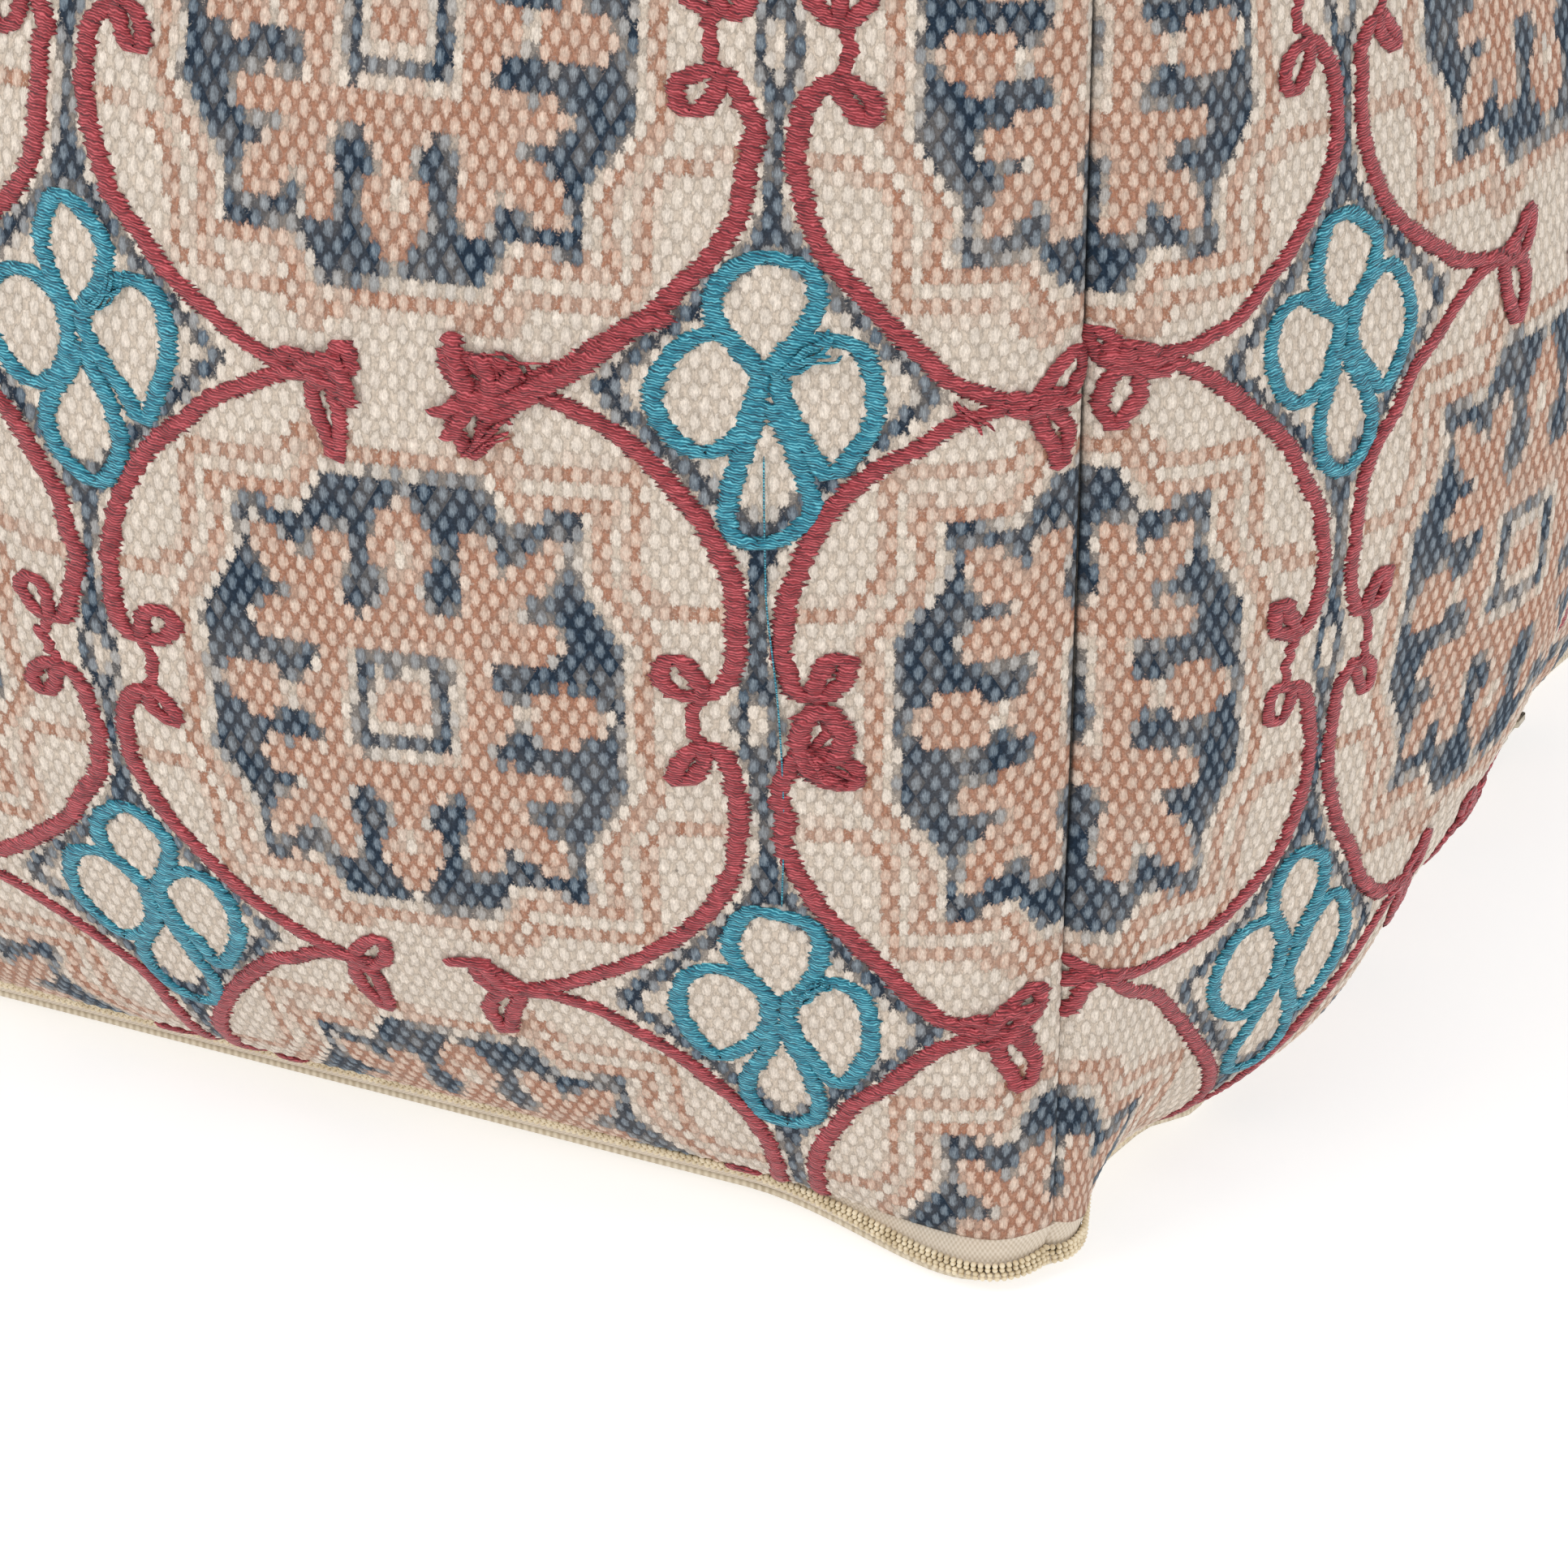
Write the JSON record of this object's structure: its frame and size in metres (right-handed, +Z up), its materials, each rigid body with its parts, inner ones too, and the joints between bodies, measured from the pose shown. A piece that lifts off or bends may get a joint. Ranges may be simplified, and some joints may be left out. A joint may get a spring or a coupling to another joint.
{
  "type": "stuffed cube ottoman",
  "caption": "Stuffed cube ottoman with a woven, printed and embroidered zip-off cover over an inner bag of soft fill.",
  "frame": {"origin": "centre of the footprint, on the floor", "axes": "+Z up; -Y is the front side, +X the right side, where the zip's pull is parked"},
  "size_m": [0.5048, 0.5048, 0.431],
  "materials": {
    "printed_cloth": "coarse plain weave, printed and embroidered",
    "base_cloth": "plain cotton canvas",
    "zip_tape": "ribbed woven tape",
    "zip_coil": "moulded nylon coil",
    "zip_metal": "plated, lightly worn",
    "bag_cloth": "thin calico",
    "fill": "loose white fibre"
  },
  "bodies": {
    "root": {"top_panel": "printed_cloth", "front_panel": "printed_cloth", "right_panel": "printed_cloth", "back_panel": "printed_cloth", "left_panel": "printed_cloth", "bottom_panel": "base_cloth", "zipper_tape_upper": "zip_tape", "zipper_tape_lower": "zip_tape", "zipper_coil_upper": "zip_coil", "zipper_coil_lower": "zip_coil", "zipper_top_stops": "zip_metal", "zipper_bottom_stop": "zip_metal", "liner_top": "bag_cloth", "liner_front": "bag_cloth", "liner_right": "bag_cloth", "liner_back": "bag_cloth", "liner_left": "bag_cloth", "liner_bottom": "bag_cloth", "fill": "fill"},
    "slider": {"zipper_slider_body": "zip_metal"},
    "pull_tab": {"zipper_pull_tab": "zip_metal"}
  },
  "joints": [
    {"name": "slider_travel", "type": "slide", "parent": "root", "child": "slider", "axis": [0, -1, 0], "range_m": [0, 0.195], "deforming": ["zipper_coil_upper", "zipper_coil_lower"]},
    {"name": "pull_tab_swing", "type": "hinge", "parent": "slider", "child": "pull_tab", "pos_m": [0.19893, 0.09475, 0.00695], "axis": [0, 0, 1], "range_deg": [0, 175]}
  ]
}
